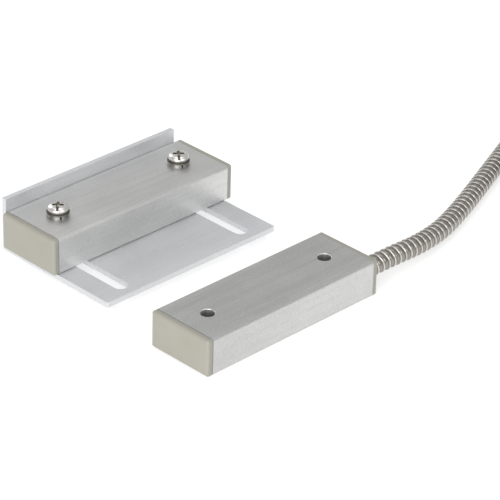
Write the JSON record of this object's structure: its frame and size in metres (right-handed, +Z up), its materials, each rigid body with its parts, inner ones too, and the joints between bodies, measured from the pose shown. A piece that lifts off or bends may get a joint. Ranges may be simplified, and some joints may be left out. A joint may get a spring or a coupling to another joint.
{
  "type": "industrial magnetic contact",
  "caption": "Door contact for heavy use: a potted reed switch in an aluminium tube with armoured cable, and a matching magnet on a slotted angle bracket.",
  "frame": {"origin": "midway between the switch's two mounting holes, on its mounting face", "axes": "+X along the housings towards the cable, +Y from the switch to the magnet, +Z up, along the mounting holes"},
  "size_m": [0.3245, 0.1544, 0.0265],
  "materials": {
    "tube": "brushed along its length",
    "bracket": "brushed, clear anodised",
    "cap": "moulded, beige grey",
    "screw": "bright nickel plate",
    "zinc": "zinc plate",
    "armour": "stainless steel strip, interlocked",
    "resin": "potting resin",
    "board": "glass fibre laminate",
    "glass": "clear",
    "reed_metal": "nickel iron",
    "magnet": "sintered",
    "lead_black": "insulation",
    "lead_white": "insulation",
    "lead_red": "insulation",
    "ferrule": "shrunk sleeve",
    "copper": "tinned copper strands"
  },
  "bodies": {
    "root": {"switch_housing": "tube", "switch_end_cap": "cap", "switch_cable_cap": "cap", "reed_glass": "glass", "reed_common_blade": "reed_metal", "reed_closed_contact": "reed_metal", "reed_open_contact": "reed_metal", "board_pins": "copper", "circuit_board": "board", "bias_magnet": "magnet", "lead_common": "lead_black", "lead_open": "lead_white", "lead_closed": "lead_red", "switch_potting": "resin", "conduit_run": "armour", "conduit_coil": "armour", "conduit_ferrule": "ferrule", "lead_tail_common": "lead_black", "lead_tail_open": "lead_white", "lead_tail_closed": "lead_red", "magnet_housing": "tube", "magnet_cap_left": "cap", "magnet_cap_right": "cap", "bar_magnet": "magnet", "magnet_potting": "resin", "mounting_bracket": "bracket", "screw_left": "screw", "screw_right": "screw", "lock_washer_left": "zinc", "lock_washer_right": "zinc", "flat_washer_left": "zinc", "flat_washer_right": "zinc", "nut_left": "zinc", "nut_right": "zinc"}
  },
  "joints": []
}
